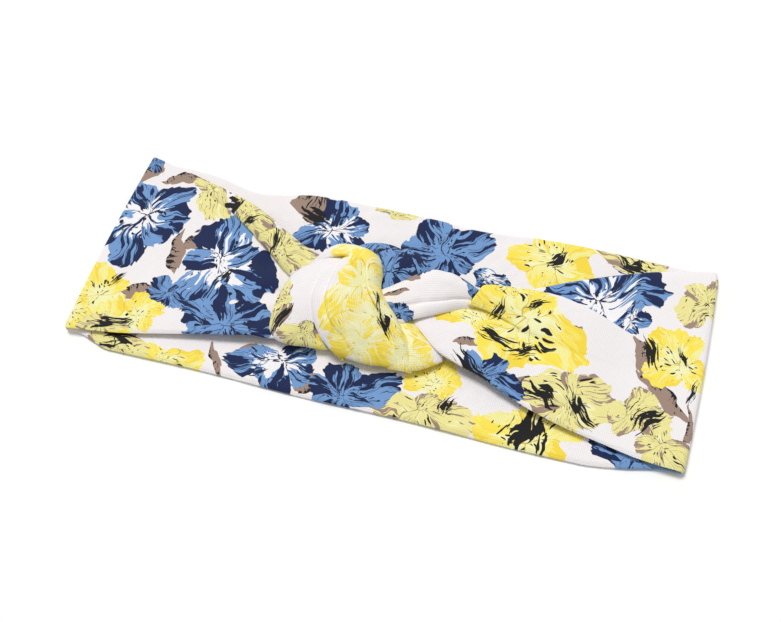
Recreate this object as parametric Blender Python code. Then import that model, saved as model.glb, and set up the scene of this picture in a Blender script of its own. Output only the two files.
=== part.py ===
"""A knotted fabric headband, laid flat.

The band is one tube of printed jersey, pressed flat so that it has two plies, tied in a single
overhand knot at the front and sewn end to end at the centre back.  X runs along the band, Y across
it and Z up.  The origin is on the resting plane, at the middle of the flat band.  The back half lies
on the plane with its inner face up, and the front half lies on top of it with the knot.

The loop opens by bending at six places: on both sides of the closing seam, at the fold on each side
and on both sides of the knot.  Each rigid stretch is a body, and the empty that its pieces hang from
sits on its bend axis.  The chain of bodies starts and ends at the closing seam, where it is left open:
its two ends stay together at every angle, and the seam doesn't bend.
"""

import math

import bmesh
import bpy
from mathutils import Vector

# Driving dimensions, in metres.
BAND_LENGTH = 0.240  # laid flat, from fold to fold
BAND_WIDTH = 0.089
PLY = 0.0005  # one thickness of cloth
PLY_GAP = 0.0010  # the space between the plies, where the seam allowances lie
LAYER_GAP = 0.0006  # between the back half and the front half of the flat loop
BEND_X = 0.042  # the bends beside the knot and beside the closing seam
BEND_SETBACK = 0.00075  # how far a stretch stops short of a bend axis, so that it can turn
FOLD_ARC_DEG = (12.0, 80.0)  # what each half of a side fold covers, from the fold's line to its panel
EDGE_ROLL = 0.0020  # the width over which the two plies close up along a long edge
EDGE_CLOSE = 0.0003
ALLOWANCE = 0.0055  # the width of a seam allowance
ALLOWANCE_THICK = 0.0004
ALLOWANCE_INSET = 0.0025
THREAD_RADIUS = 0.0002
THREAD_INSET = 0.0016
SEAM_HALF_GAP = 0.0009  # the closing seam's two ends stand this far from its centre line
LADDER_HALF = 0.0003  # the sideways swing of the ladder stitch
LADDER_PITCH = 0.0040

# Worked out from the dimensions above.
BAND = 2 * PLY + PLY_GAP
HALF_LENGTH = BAND_LENGTH / 2
HALF_WIDTH = BAND_WIDTH / 2
FOLD_RADIUS = BAND + LAYER_GAP / 2
FOLD_X = HALF_LENGTH - FOLD_RADIUS  # the centre that the cloth of a side fold is curved around
BACK_Z = BAND / 2
FRONT_Z = BAND + LAYER_GAP + BAND / 2
FOLD_Z = (BACK_Z + FRONT_Z) / 2
PLY_OFFSET = (PLY_GAP + PLY) / 2

MM = 0.001

# The front half's long edges, as (distance from the band's centre, y) in millimetres.
LEFT_TOP = [(120, 44.5), (100, 40.5), (72, 30.5), (47, 18.5), (36, 13.0)]
LEFT_BOTTOM = [(120, -44.5), (98, -41.5), (72, -35.5), (47, -30.0), (36, -28.0)]
RIGHT_TOP = [(120, 44.5), (98, 38.8), (80, 31.5), (62, 22.5), (50, 16.5), (36, 12.5)]
RIGHT_BOTTOM = [(120, -44.5), (104, -42.3), (75, -36.5), (51, -28.8), (36, -23.5)]
FRONT_RISE = 0.0022  # how much the front half lifts where it meets the knot
ROLL_HEIGHT = 0.0024  # the gathered roll along the top edge of the left panel
ROLL_WIDTH = 0.0075

JERSEY_WHITE = (0.91, 0.88, 0.88)
LINING_WHITE = (0.88, 0.85, 0.84)
THREAD_WHITE = (0.93, 0.92, 0.90)

# Each body: its parent, and the x and z of the bend axis that it turns about. Every axis is along Y.
BODIES = {
    "back_centre_left": (None, (0.0, BACK_Z)),
    "back_left": ("back_centre_left", (-BEND_X, BACK_Z)),
    "front_left": ("back_left", (-HALF_LENGTH, FOLD_Z)),
    "knot": ("front_left", (-BEND_X, FRONT_Z)),
    "front_right": ("knot", (BEND_X, FRONT_Z)),
    "back_right": ("front_right", (HALF_LENGTH, FOLD_Z)),
    "back_centre_right": ("back_right", (BEND_X, BACK_Z)),
}


# ---------------------------------------------------------------- helpers


def clear_scene():
    for obj in list(bpy.data.objects):
        bpy.data.objects.remove(obj)


def cloth_material(name, colour, roughness=0.9):
    material = bpy.data.materials.new(name)
    material.use_nodes = True
    shader = material.node_tree.nodes["Principled BSDF"]
    shader.inputs["Base Color"].default_value = (*colour, 1.0)
    shader.inputs["Roughness"].default_value = roughness
    shader.inputs["Metallic"].default_value = 0.0
    return material


def make_bodies():
    """One empty for each body, on its bend axis, parented in the order of the chain."""
    empties = {}
    for name, (parent, (x, z)) in BODIES.items():
        empty = bpy.data.objects.new("body_" + name, None)
        bpy.context.scene.collection.objects.link(empty)
        empty.location = (x, 0.0, z)
        if parent:
            parent_x, parent_z = BODIES[parent][1]
            empty.parent = empties[parent]
            empty.location = (x - parent_x, 0.0, z - parent_z)
        empties[name] = empty
    return empties


def place(obj, body, material):
    """Hangs an object built in world coordinates on its body's empty."""
    x, z = BODIES[body][1]
    obj.parent = EMPTIES[body]
    obj.location = (-x, 0.0, -z)
    obj.data.materials.append(material)
    return obj


def mesh_object(name, bm, body, material):
    bmesh.ops.recalc_face_normals(bm, faces=bm.faces)
    mesh = bpy.data.meshes.new(name)
    bm.to_mesh(mesh)
    bm.free()
    mesh.shade_smooth()
    mesh.set_sharp_from_angle(angle=math.radians(40))
    obj = bpy.data.objects.new(name, mesh)
    bpy.context.scene.collection.objects.link(obj)
    return place(obj, body, material)


def smooth(t):
    t = max(0.0, min(1.0, t))
    return t * t * (3 - 2 * t)


def spline(points, t):
    """A Catmull-Rom curve through points, which are evenly spaced for t from 0 to 1."""
    last = len(points) - 1
    span = min(int(t * last), last - 1)
    f = t * last - span
    p1, p2 = Vector(points[span]), Vector(points[span + 1])
    p0 = Vector(points[span - 1]) if span > 0 else 2 * p1 - p2
    p3 = Vector(points[span + 2]) if span + 2 <= last else 2 * p2 - p1
    return 0.5 * (
        2 * p1
        + (p2 - p0) * f
        + (2 * p0 - 5 * p1 + 4 * p2 - p3) * f**2
        + (3 * p1 - p0 - 3 * p2 + p3) * f**3
    )


def edge_y(points, distance):
    """The y of a front edge, in metres, at a distance in metres from the band's centre."""
    d = distance / MM
    for (d0, y0), (d1, y1) in zip(points, points[1:]):
        if d >= d1:
            return MM * (y1 + (y0 - y1) * (d - d1) / (d0 - d1))
    return MM * points[-1][1]


def spread(low, high, count):
    return [low + (high - low) * i / (count - 1) for i in range(count)]


def across(low, high, inner):
    """Places across a ply: close together where an edge rolls in, and inner ones between."""
    edge = [0.0, 0.35 * EDGE_ROLL, 0.7 * EDGE_ROLL, EDGE_ROLL]
    middle = spread(low + EDGE_ROLL, high - EDGE_ROLL, inner)[1:-1]
    return [low + e for e in edge] + middle + [high - e for e in reversed(edge)]


def sheet(name, rows, thickness, body, material):
    """A closed sheet around a grid of middle-surface points."""
    bm = bmesh.new()
    grid = [[bm.verts.new(p) for p in row] for row in rows]
    for lower, upper in zip(grid, grid[1:]):
        for a, b, c, d in zip(lower, lower[1:], upper[1:], upper):
            bm.faces.new((a, b, c, d))
    obj = mesh_object(name, bm, body, material)
    solidify = obj.modifiers.new("cloth thickness", "SOLIDIFY")
    solidify.thickness = thickness
    solidify.offset = 0.0
    return obj


def bar(name, corner, opposite, body, material):
    """A flat strip between two corners."""
    bm = bmesh.new()
    bmesh.ops.create_cube(bm, size=1.0)
    low, high = Vector(corner), Vector(opposite)
    for vert in bm.verts:
        for axis in range(3):
            vert.co[axis] = low[axis] + (vert.co[axis] + 0.5) * (high[axis] - low[axis])
    return mesh_object(name, bm, body, material)


def cord(name, points, radius, body, material):
    """A round thread along points."""
    curve = bpy.data.curves.new(name, "CURVE")
    curve.dimensions = "3D"
    curve.bevel_depth = radius
    curve.bevel_resolution = 1
    curve.use_fill_caps = True
    line = curve.splines.new("POLY")
    line.points.add(len(points) - 1)
    for spot, point in zip(line.points, points):
        spot.co = (*point, 1.0)
    obj = bpy.data.objects.new(name, curve)
    bpy.context.scene.collection.objects.link(obj)
    return place(obj, body, material)


def strand(name, stations, body, material, steps=14, sides=16, square=False):
    """A gathered strand: rounded-rectangle sections bridged along a curve.

    Each station is (x, y, z, half width, half height) in millimetres.  A square strand's sections
    all face along X, so that it ends squarely against a panel.
    """
    bm = bmesh.new()
    rings = []
    for step in range(steps + 1):
        t = step / steps
        here = spline(stations, t)
        ahead = spline(stations, min(1.0, t + 0.01))
        behind = spline(stations, max(0.0, t - 0.01))
        run = Vector((ahead[0] - behind[0], ahead[1] - behind[1], 0.0)).normalized()
        side = Vector((0.0, 1.0, 0.0)) if square else Vector((-run.y, run.x, 0.0))
        centre = Vector(here[:3])
        ring = []
        for k in range(sides):
            angle = 2 * math.pi * k / sides
            wide = math.copysign(abs(math.cos(angle)) ** 0.7, math.cos(angle))
            high = math.copysign(abs(math.sin(angle)) ** 0.7, math.sin(angle))
            offset = side * (wide * here[3]) + Vector((0, 0, high * here[4]))
            ring.append(bm.verts.new((centre + offset) * MM))
        rings.append(ring)
    for first, second in zip(rings, rings[1:]):
        for k in range(sides):
            m = (k + 1) % sides
            bm.faces.new((first[k], first[m], second[m], second[k]))
    bm.faces.new(rings[0])
    bm.faces.new(rings[-1])
    return mesh_object(name, bm, body, material)


# ---------------------------------------------------------------- the band


def ply_rows(xs, low, high, height, side, inner):
    """Middle-surface points of one ply. side is +1 for the upper ply and -1 for the lower."""
    rows = []
    for x in xs:
        y0, y1 = low(x), high(x)
        row = []
        for y in across(y0, y1, inner):
            to_edge = min(y - y0, y1 - y)
            close = EDGE_CLOSE * (1 - smooth(to_edge / EDGE_ROLL))
            row.append((x, y, height(x, y) + side * (PLY_OFFSET - close)))
        rows.append(row)
    return rows


def panel(prefix, body, x0, x1, low, high, height, outer_side, steps, inner):
    """One stretch of the flattened tube: two plies, the long seam's allowance and its thread."""
    xs = spread(x0, x1, steps)
    outer = ply_rows(xs, low, high, height, outer_side, inner)
    lining = ply_rows(xs, low, high, height, -outer_side, inner)
    sheet(prefix + "_outer_ply", outer, PLY, body, FACE)
    sheet(prefix + "_inner_ply", lining, PLY, body, LINING)
    inside = spread(x0 + PLY, x1 - PLY, steps)
    allowance = []
    for x in inside:
        top = high(x) - ALLOWANCE_INSET
        ys = spread(top - ALLOWANCE, top, 8)
        allowance.append([(x, y, height(x, y)) for y in ys])
    sheet(prefix + "_seam_allowance", allowance, ALLOWANCE_THICK, body, LINING)
    thread = []
    for x in inside:
        y = high(x) - THREAD_INSET
        thread.append((x, y, height(x, y)))
    cord(prefix + "_seam_thread", thread, THREAD_RADIUS, body, THREAD)


def build_back():
    """The back half, flat on the plane. Its outer face is underneath."""

    def low(x):
        return -HALF_WIDTH

    def high(x):
        return HALF_WIDTH

    def height(x, y):
        return BACK_Z

    inner_end = BEND_X + BEND_SETBACK
    outer_end = FOLD_X - PLY
    centre_end = BEND_X - BEND_SETBACK
    flat = (low, high, height, -1, 2, 2)
    panel("back_left", "back_left", -outer_end, -inner_end, *flat)
    panel("back_right", "back_right", inner_end, outer_end, *flat)
    panel("back_centre_left", "back_centre_left", -centre_end, -SEAM_HALF_GAP, *flat)
    panel("back_centre_right", "back_centre_right", SEAM_HALF_GAP, centre_end, *flat)


def build_closing_seam():
    """The turned-in ends of the tube and the ladder stitch that joins them."""
    z0, z1 = BACK_Z - ALLOWANCE_THICK / 2, BACK_Z + ALLOWANCE_THICK / 2
    y0 = -HALF_WIDTH + ALLOWANCE_INSET
    y1 = HALF_WIDTH - ALLOWANCE_INSET - ALLOWANCE - 2 * PLY
    near = SEAM_HALF_GAP + PLY
    far = near + ALLOWANCE
    bar("closing_allowance_left", (-far, y0, z0), (-near, y1, z1), "back_centre_left", LINING)
    bar("closing_allowance_right", (near, y0, z0), (far, y1, z1), "back_centre_right", LINING)
    reach = HALF_WIDTH - EDGE_ROLL
    rungs = 2 * int(reach / LADDER_PITCH)
    points = []
    for i in range(rungs + 1):
        y = -reach + 2 * reach * i / rungs
        x = LADDER_HALF if i % 2 else -LADDER_HALF
        points.append((x, y, BACK_Z))
    cord("closing_seam_thread", points, THREAD_RADIUS, "back_centre_left", THREAD)


def fold_ply(name, body, side, up, radius, material):
    """Half of the bend at a side fold, spun around a line along Y. up is +1 for the front's half."""
    rows = []
    for degrees in spread(*FOLD_ARC_DEG, 7):
        angle = math.radians(degrees)
        reach = radius - PLY / 2
        x = side * (FOLD_X + reach * math.cos(angle))
        z = FOLD_Z + up * reach * math.sin(angle)
        rows.append([(x, y, z) for y in (-HALF_WIDTH, HALF_WIDTH)])
    sheet(name, rows, PLY, body, material)


def build_folds():
    inner_radius = FOLD_RADIUS - PLY - PLY_GAP
    for side, hand in ((-1, "left"), (1, "right")):
        for up, level, half in ((-1, "lower", "back_"), (1, "upper", "front_")):
            name = f"{hand}_fold_{level}"
            fold_ply(name + "_outer_ply", half + hand, side, up, FOLD_RADIUS, FACE)
            fold_ply(name + "_inner_ply", half + hand, side, up, inner_radius, LINING)


def lift(x):
    """How far the front half has risen from the back half at x."""
    return FRONT_RISE * smooth((FOLD_X - abs(x)) / (FOLD_X - BEND_X))


def build_front():
    """The front half: two panels that narrow towards the knot."""
    inner_end = BEND_X + BEND_SETBACK
    outer_end = FOLD_X - PLY

    def left_low(x):
        return edge_y(LEFT_BOTTOM, -x)

    def left_high(x):
        return edge_y(LEFT_TOP, -x)

    def left_height(x, y):
        near = smooth((FOLD_X + x) / (FOLD_X - BEND_X))
        from_roll = (left_high(x) - ROLL_WIDTH - y) / ROLL_WIDTH
        return FRONT_Z + lift(x) + ROLL_HEIGHT * near * smooth(1 - abs(from_roll))

    def right_low(x):
        return edge_y(RIGHT_BOTTOM, x)

    def right_high(x):
        return edge_y(RIGHT_TOP, x)

    def right_height(x, y):
        return FRONT_Z + lift(x)

    left = (left_low, left_high, left_height, 1, 14, 26)
    right = (right_low, right_high, right_height, 1, 14, 3)
    panel("front_left", "front_left", -outer_end, -inner_end, *left)
    panel("front_right", "front_right", inner_end, outer_end, *right)


# ---------------------------------------------------------------- the knot

# Sections along each strand of the knot: x, y, z, half width, half height, in millimetres.
STANDING = [(-41.2, -7, 5.4, 20, 1.8), (-34, -8, 4.9, 15, 1.9), (-20, -8, 5.2, 13, 2.4), (-1, -6, 5.0, 9, 2.1)]
LENS = [(4.5, -5, 7.6, 5, 1.3), (12, 1, 8.4, 8, 2.0), (22, 4, 8.3, 7.5, 2.0), (33, 6.5, 7.8, 3, 1.4)]
RETURN = [(27, 17, 4.6, 3, 1.6), (14, 18, 5.2, 3.8, 2.2), (0, 18.5, 5.8, 4.5, 2.6), (-17, 16.5, 5.8, 4.5, 2.6)]
EXIT = [(6, -4, 3.9, 5, 1.1), (20, -6, 4.0, 9, 1.2), (31, -10, 4.2, 11, 1.4), (41.2, -12.7, 5.8, 11.5, 1.8)]
FLAP = [(30.5, 5.5, 11, 3, 0.9), (34, 6, 10.6, 5, 1.1), (38, 6, 8.6, 6, 1.4), (41.2, 5.8, 6.2, 6.3, 1.8)]
WRAP_ROLL = [
    (-30, 8.6, 11.5, 1.6, 1.6),
    (-19, 10.8, 14, 2.3, 2.3),
    (-8.5, 9.5, 14.5, 2.2, 2.3),
    (-2.6, 3.5, 14, 2.0, 2.2),
    (2.4, -4, 13.6, 1.8, 2.0),
    (9, -10, 12.6, 1.5, 1.8),
]
# The wrap's middle surface, from its top edge to its bottom edge, each row from left to right.
WRAP = [
    [(-30, 4.5, 11.5), (-22, 6, 13), (-15, 6.4, 14), (-9, 5, 14)],
    [(-37.5, -4, 11), (-27, -2, 15), (-16, -1.5, 17), (-7, -3, 15.5)],
    [(-40, -16, 10.5), (-27, -13, 15.5), (-12, -12, 17), (2, -11, 14)],
    [(-39.5, -28, 6.4), (-20, -29.5, 5.8), (2, -30.5, 5.8), (24, -22, 6.8)],
]
WRAP_THICK = 0.0024
WRAP_STEPS = 15


def build_wrap():
    """The part of the band that passes over the front of the knot."""
    rows = []
    for i in range(WRAP_STEPS):
        t = i / (WRAP_STEPS - 1)
        columns = [spline([row[k] for row in WRAP], t) for k in range(len(WRAP[0]))]
        row = [spline(columns, j / (WRAP_STEPS - 1)) * MM for j in range(WRAP_STEPS)]
        rows.append(row)
    sheet("knot_wrap", rows, WRAP_THICK, "knot", FACE)


def build_knot():
    strand("knot_standing_strand", STANDING, "knot", FACE, square=True)
    strand("knot_lens_strand", LENS, "knot", FACE)
    strand("knot_return_strand", RETURN, "knot", FACE)
    strand("knot_exit_strand", EXIT, "knot", FACE, square=True)
    strand("knot_exit_flap", FLAP, "knot", FACE, square=True)
    strand("knot_wrap_roll", WRAP_ROLL, "knot", FACE, steps=20, sides=12)
    build_wrap()


clear_scene()
EMPTIES = make_bodies()
FACE = cloth_material("printed_jersey", JERSEY_WHITE)
LINING = cloth_material("jersey_inner_ply", LINING_WHITE)
THREAD = cloth_material("sewing_thread", THREAD_WHITE, 0.6)
build_back()
build_closing_seam()
build_folds()
build_front()
build_knot()
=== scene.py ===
"""The looks of the knotted headband: gathered, pleated cloth, a painted floral print and a jersey knit.

Lengths are in millimetres until cloth() makes a mesh. X runs along the band, Y across it and Z up, in
the CAD frame.
"""

import math  # noqa: E402

import bmesh  # noqa: E402
import bpy  # noqa: E402
import numpy as np  # noqa: E402
from mathutils import Euler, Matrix, Vector, noise  # noqa: E402


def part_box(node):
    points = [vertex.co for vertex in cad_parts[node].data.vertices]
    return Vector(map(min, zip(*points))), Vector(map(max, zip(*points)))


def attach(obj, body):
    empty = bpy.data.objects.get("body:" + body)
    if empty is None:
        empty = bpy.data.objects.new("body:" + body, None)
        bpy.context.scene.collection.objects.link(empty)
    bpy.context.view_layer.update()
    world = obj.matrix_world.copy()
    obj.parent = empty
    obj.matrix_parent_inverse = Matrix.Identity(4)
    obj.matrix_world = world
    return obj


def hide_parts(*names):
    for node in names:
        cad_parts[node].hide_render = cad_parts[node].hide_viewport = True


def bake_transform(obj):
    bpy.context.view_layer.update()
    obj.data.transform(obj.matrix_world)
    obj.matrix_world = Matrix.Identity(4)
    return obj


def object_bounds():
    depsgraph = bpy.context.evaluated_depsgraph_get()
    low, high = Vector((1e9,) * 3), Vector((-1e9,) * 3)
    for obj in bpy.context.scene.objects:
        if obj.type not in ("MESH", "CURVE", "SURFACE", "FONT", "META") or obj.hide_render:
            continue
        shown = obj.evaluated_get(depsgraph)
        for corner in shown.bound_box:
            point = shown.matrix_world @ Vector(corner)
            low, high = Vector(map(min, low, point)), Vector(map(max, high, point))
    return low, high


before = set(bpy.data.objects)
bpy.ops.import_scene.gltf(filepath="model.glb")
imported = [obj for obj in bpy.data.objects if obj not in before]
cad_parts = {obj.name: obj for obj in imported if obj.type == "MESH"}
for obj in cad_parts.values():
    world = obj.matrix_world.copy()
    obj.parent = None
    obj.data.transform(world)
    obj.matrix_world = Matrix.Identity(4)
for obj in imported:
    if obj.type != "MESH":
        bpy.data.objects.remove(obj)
cad_low, cad_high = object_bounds()

MM = 0.001

# Sizes that come from the frame.
back_low, back_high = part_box("back_left_outer_ply")
inner_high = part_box("back_left_inner_ply")[1]
HALF_LENGTH = cad_high.x / MM
HALF_WIDTH = cad_high.y / MM
BACK_MID = (back_low.z + inner_high.z) / 2 / MM
FRONT_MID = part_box("front_left_inner_ply")[0].z / MM + BACK_MID
FOLD_MID = (BACK_MID + FRONT_MID) / 2
FOLD_RADIUS = (FRONT_MID - BACK_MID) / 2

THICK = 1.5  # both plies of the pressed tube
WRAP_THICK = 1.7  # the wrap is a little fuller
FAN_THICK = 1.4  # and the tuck's fan a little thinner
EDGE_ROUND = 0.55  # an edge is rounded over this share of the thickness
END_THICK = 0.12  # a rounded end keeps this share of it
FOLD_CENTRE = HALF_LENGTH - FOLD_RADIUS - THICK / 2
SPLIT_BACK = 80  # where the back's pieces meet, on a stretch that doesn't bend
SPLIT_FRONT = 95  # the same for the front's
SPLIT_RIGHT = 52  # where the right panel divides into the knot's two strands
WRINKLE = 0.36  # how far the unevenness of soft cloth reaches
WRINKLE_LENGTH = 9.0  # the distance between its broad waves
FINE_WRINKLE = 2.7  # how many times shorter its fine waves are
WRINKLE_FADE = 20  # it fades over this much cloth, towards the side folds
FLOOR_GAP = 0.02  # the cloth comes no closer to the floor
SHARP_ANGLE = 60  # degrees between faces, beyond which an edge is shaded sharp


# ---------------------------------------------------------------- curves and surfaces


def smooth(t):
    t = np.clip(t, 0.0, 1.0)
    return t * t * (3 - 2 * t)


def ramp(x, start, end):
    """0 at start and 1 at end, with a smooth rise between them."""
    return smooth((x - start) / (end - start))


def spline(points, count):
    """count points on a Catmull-Rom curve through points, which are spread evenly along it."""
    p = np.array(points, float)
    p = np.vstack([2 * p[:1] - p[1:2], p, 2 * p[-1:] - p[-2:-1]])
    t = np.linspace(0, len(points) - 1, count)
    i = np.minimum(t.astype(int), len(points) - 2)
    f = (t - i)[:, None] if p.ndim == 2 else (t - i)[:, None, None]
    a, b, c, d = p[i], p[i + 1], p[i + 2], p[i + 3]
    square = 2 * a - 5 * b + 4 * c - d
    cube = 3 * b - a - 3 * c + d
    return 0.5 * (2 * b + (c - a) * f + square * f**2 + cube * f**3)


def along(points, x):
    """The y of an outline, given as (x, y) from left to right, at x."""
    fine = spline(points, 60)
    return np.interp(x, np.maximum.accumulate(fine[:, 0]), fine[:, 1])


def surface(guides, rows, cols):
    """A grid through guide curves, all with the same number of points."""
    across = np.array([spline(guide, cols) for guide in guides])
    return spline(across, rows)


def normals_of(grid):
    run = np.gradient(grid, axis=0)
    across = np.gradient(grid, axis=1)
    normal = np.cross(run, across)
    length = np.linalg.norm(normal, axis=2, keepdims=True)
    return normal / np.maximum(length, 1e-9)


def rounding(distance, thick):
    """A half-round edge: 0 at the edge, 1 where the cloth has its full thickness."""
    t = np.clip(distance / (EDGE_ROUND * thick), 0.0, 1.0)
    return np.sqrt(1 - (1 - t) ** 2)


def face_outwards(mesh):
    shape = bmesh.new()
    shape.from_mesh(mesh)
    bmesh.ops.recalc_face_normals(shape, faces=shape.faces)
    shape.to_mesh(mesh)
    shape.free()


def unevenness(point):
    """How far soft cloth stands off at a point. It depends on place alone, so neighbours agree."""
    place = Vector(point) / WRINKLE_LENGTH
    return WRINKLE * noise.noise(place) + WRINKLE / 2 * noise.noise(place * FINE_WRINKLE)


def crumpled(grid):
    """The grid with its unevenness, which fades before the side folds."""
    lift = np.array([unevenness(point) for point in grid.reshape(-1, 3)]).reshape(grid.shape[:2])
    fade = ramp(np.abs(grid[..., 0]), SPLIT_BACK, SPLIT_BACK - WRINKLE_FADE)
    return grid + normals_of(grid) * (fade * lift)[..., None]


def arc_lengths(grid, axis):
    """The mean distance along the grid at each row (axis 0) or column (axis 1)."""
    steps = np.linalg.norm(np.diff(grid, axis=axis), axis=2).mean(axis=1 - axis)
    return np.concatenate([[0.0], np.cumsum(steps)])


def half_thickness(run, across, thick, round_ends):
    """Half the cloth's thickness at each point: it falls to nothing along both long edges."""
    half = rounding(np.minimum(across, across[-1] - across), thick)[None, :]
    for wanted, distance in zip(round_ends, (run, run[-1] - run)):
        if wanted:
            half = half * np.maximum(rounding(distance, thick), END_THICK)[:, None]
    return np.broadcast_to(half, (len(run), len(across)))[..., None] * thick / 2


def both_skins(values):
    """Values for the upper skin's points, then for the lower skin's own, because it shares the edges."""
    return np.concatenate([values.reshape(-1), values[:, 1:-1].reshape(-1)])


def closed_faces(rows, cols):
    """The faces of the upper skin, then the lower skin, then the strip at each end."""
    top = np.arange(rows * cols).reshape(rows, cols)
    under = top.copy()
    under[:, 1:-1] = rows * cols + np.arange(rows * (cols - 2)).reshape(rows, cols - 2)
    quads = [
        (top[:-1, :-1], top[1:, :-1], top[1:, 1:], top[:-1, 1:]),
        (under[:-1, :-1], under[:-1, 1:], under[1:, 1:], under[1:, :-1]),
    ]
    faces = np.concatenate([np.stack(corners, axis=-1).reshape(-1, 4) for corners in quads]).tolist()
    for row, turn in ((0, -1), (rows - 1, 1)):
        for j in range(cols - 1):
            ring = [top[row, j], top[row, j + 1], under[row, j + 1], under[row, j]]
            faces.append(list(dict.fromkeys(ring))[::turn])
    return faces


def face_materials(rows, cols, change):
    """For each face, 0 before the row change and 1 from it on."""
    quad_rows = np.repeat(np.arange(rows - 1), cols - 1)
    end_rows = np.repeat([0, rows - 2], cols - 1)
    return (np.concatenate([quad_rows, quad_rows, end_rows]) >= change).astype(int).tolist()


def cloth(
    name, grid, materials, thick=THICK, round_ends=(False, False), hidden=0.0, plan_knit=True, change=None
):
    """A closed mesh around a mid-surface, with half-round long edges and a print and a knit UV map.

    round_ends says whether the first and the last row are rounded too.
    hidden is how much cloth (in mm, for each point) a pleat hides, so how far the print jumps there.
    plan_knit lays the knit out as seen from above, and otherwise along the cloth.
    change is the row from which the second of two materials is used.
    """
    grid = crumpled(grid)
    rows, cols = grid.shape[:2]
    run, across = arc_lengths(grid, 0), arc_lengths(grid, 1)
    offset = normals_of(grid) * half_thickness(run, across, thick, round_ends)
    verts = np.concatenate([(grid + offset).reshape(-1, 3), (grid - offset)[:, 1:-1].reshape(-1, 3)])
    verts[:, 2] = np.maximum(verts[:, 2], FLOOR_GAP)
    mesh = bpy.data.meshes.new(name)
    mesh.from_pydata((verts * MM).tolist(), [], closed_faces(rows, cols))

    jump = both_skins(np.broadcast_to(hidden, (rows, cols)))
    print_uv = np.stack([verts[:, 0], verts[:, 1] + jump], axis=1)
    along_cloth = [both_skins(lengths) for lengths in np.meshgrid(run, across, indexing="ij")]
    knit_uv = verts[:, :2] if plan_knit else np.stack(along_cloth, axis=1)
    corner_vert = np.empty(len(mesh.loops), int)
    mesh.loops.foreach_get("vertex_index", corner_vert)
    for layer, uv in (("print", print_uv), ("knit", knit_uv)):
        mesh.uv_layers.new(name=layer).data.foreach_set("uv", (uv[corner_vert] * MM).ravel())

    for material in materials:
        mesh.materials.append(material)
    if change is not None:
        mesh.polygons.foreach_set("material_index", face_materials(rows, cols, change))
    mesh.validate()
    face_outwards(mesh)
    mesh.shade_smooth()
    mesh.set_sharp_from_angle(angle=math.radians(SHARP_ANGLE))
    piece = bpy.data.objects.new(name, mesh)
    bpy.context.scene.collection.objects.link(piece)
    return piece


# ---------------------------------------------------------------- materials


class Graph:
    """Adds nodes to a material, taking numbers, tuples or other nodes' outputs as inputs."""

    def __init__(self, tree):
        self.tree = tree

    def add(self, kind, inputs=(), output=0, **settings):
        node = self.tree.nodes.new(kind)
        for key, value in settings.items():
            setattr(node, key, value)
        for key, value in dict(inputs).items():
            socket = node.inputs[key]
            if isinstance(value, bpy.types.NodeSocket):
                self.link(value, socket)
            else:
                socket.default_value = value
        return node.outputs[output]

    def link(self, value, socket):
        self.tree.links.new(value, socket)

    def math(self, operation, a, b=0.0, c=0.0):
        return self.add("ShaderNodeMath", {0: a, 1: b, 2: c}, operation=operation)

    def plus(self, a, b):
        return self.math("ADD", a, b)

    def minus(self, a, b):
        return self.math("SUBTRACT", a, b)

    def times(self, a, b):
        return self.math("MULTIPLY", a, b)

    def plus_scaled(self, a, b, share):
        """a, plus b times share."""
        return self.math("MULTIPLY_ADD", b, share, a)

    def both(self, a, b):
        """1 where two masks are both 1."""
        return self.times(a, b)

    def vector(self, operation, a, b=(0, 0, 0), output=0):
        return self.add("ShaderNodeVectorMath", {0: a, 1: b}, output, operation=operation)

    def combine(self, x, y, z):
        return self.add("ShaderNodeCombineXYZ", {0: x, 1: y, 2: z})

    def parts(self, vector):
        node = self.tree.nodes.new("ShaderNodeSeparateXYZ")
        self.link(vector, node.inputs[0])
        return node.outputs

    def noise(self, vector, scale, detail, output=0):
        inputs = {"Vector": vector, "Scale": scale, "Detail": detail}
        return self.add("ShaderNodeTexNoise", inputs, output)

    def step(self, value, low, high):
        """0 below low and 1 above high, or the other way round if low is the higher."""
        inputs = {"Value": value, "From Min": low, "From Max": high}
        return self.add("ShaderNodeMapRange", inputs, interpolation_type="SMOOTHSTEP")

    def mix(self, factor, a, b):
        inputs = {"Factor": factor, 6: a, 7: b}
        return self.add("ShaderNodeMix", inputs, 2, data_type="RGBA")

    def pick(self, factor, a, b):
        inputs = {"Factor": factor, 4: a, 5: b}
        return self.add("ShaderNodeMix", inputs, 1, data_type="VECTOR")

    def bump(self, height, strength, depth, shader):
        """Gives a shader's surface the relief of height, which is depth mm from 0 to 1."""
        inputs = {"Height": height, "Strength": strength, "Distance": depth * MM}
        self.link(self.add("ShaderNodeBump", inputs), shader.inputs["Normal"])


def new_material(name):
    """A material, the graph of its nodes and its shader."""
    material = bpy.data.materials.new(name)
    material.use_nodes = True
    return material, Graph(material.node_tree), material.node_tree.nodes["Principled BSDF"]


def colour(red, green, blue):
    """A linear colour from the 0 to 255 values that a screen shows."""
    def linear(v):
        v = v / 255
        return v / 12.92 if v <= 0.04045 else ((v + 0.055) / 1.055) ** 2.4

    return (linear(red), linear(green), linear(blue), 1.0)


GROUND = colour(243, 238, 238)
BLUE = colour(116, 156, 207)
SKY = colour(164, 198, 236)
NAVY = colour(20, 36, 78)
INK = colour(26, 24, 26)
YELLOW = colour(252, 230, 86)
PALE = colour(246, 240, 160)
CREAM = colour(245, 243, 186)
STRAW = colour(249, 246, 205)
AMBER = colour(214, 190, 84)
GOLD = colour(247, 219, 70)
LIME = colour(238, 229, 152)
OLIVE = colour(158, 152, 92)
TAUPE = colour(160, 136, 122)
WHITE = colour(246, 244, 246)
THREAD_DARK = colour(216, 212, 208)
THREAD_LIGHT = colour(248, 246, 244)
FLOOR_DARK = colour(250, 250, 250)
FLOOR_LIGHT = colour(253, 253, 253)

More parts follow.
